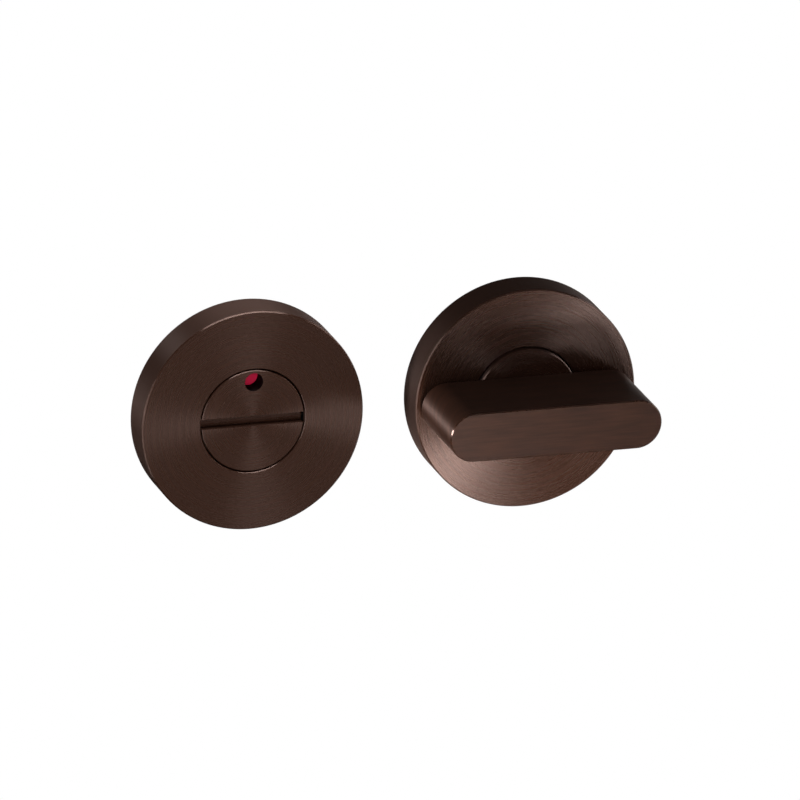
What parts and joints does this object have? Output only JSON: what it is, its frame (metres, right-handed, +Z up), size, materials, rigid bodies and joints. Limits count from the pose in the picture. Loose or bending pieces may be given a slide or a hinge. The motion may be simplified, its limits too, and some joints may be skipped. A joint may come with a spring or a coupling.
{
  "type": "bathroom thumb turn lock",
  "caption": "Bathroom door lock laid out as its inside and outside halves: a round rose with a flat thumb turn bar, and a matching rose with a coin-slot release disc and a coloured sight hole.",
  "frame": {"origin": "the thumb turn's axis where it crosses the door face, which is the plane of both halves' backs", "axes": "+Y goes into the door along the thumb turn's axis, +X points from the release half to the turn half, +Z is up"},
  "size_m": [0.1165, 0.076, 0.052],
  "materials": {
    "bronze_brushed": "dark bronze coating on brushed stainless steel",
    "base_nylon": "black moulded nylon",
    "bush_acetal": "natural white acetal",
    "zinc_steel": "bright zinc plated steel",
    "spring_steel": "black phosphated spring steel",
    "indicator_red": "red moulded plastic",
    "indicator_green": "green moulded plastic"
  },
  "bodies": {
    "roses": {"turn_rose_cover": "bronze_brushed", "turn_base_plate": "base_nylon", "turn_bush": "bush_acetal", "turn_wood_screws": "zinc_steel", "release_rose_cover": "bronze_brushed", "release_base_plate": "base_nylon", "release_bush": "bush_acetal", "release_wood_screws": "zinc_steel", "indicator_red": "indicator_red", "indicator_green": "indicator_green"},
    "turn": {"turn_boss": "bronze_brushed", "turn_grip": "bronze_brushed", "grip_screws": "zinc_steel", "grub_screw": "zinc_steel", "spindle": "zinc_steel", "turn_wave_washer": "spring_steel", "turn_flat_washer": "zinc_steel", "turn_circlip": "spring_steel"},
    "release": {"release_disc": "bronze_brushed", "release_wave_washer": "spring_steel", "release_flat_washer": "zinc_steel", "release_circlip": "spring_steel"}
  },
  "joints": [
    {"name": "thumb_turn", "type": "hinge", "parent": "roses", "child": "turn", "pos_m": [0, 0, 0], "axis": [0, -1, 0], "range_deg": [0, 90]},
    {"name": "release_turn", "type": "hinge", "parent": "roses", "child": "release", "pos_m": [-0.0645, 0, 0], "axis": [0, -1, 0], "range_deg": [-90, 0]}
  ],
  "couplings": [
    {"joint": "release_turn", "follows": "thumb_turn", "ratio": -1}
  ]
}
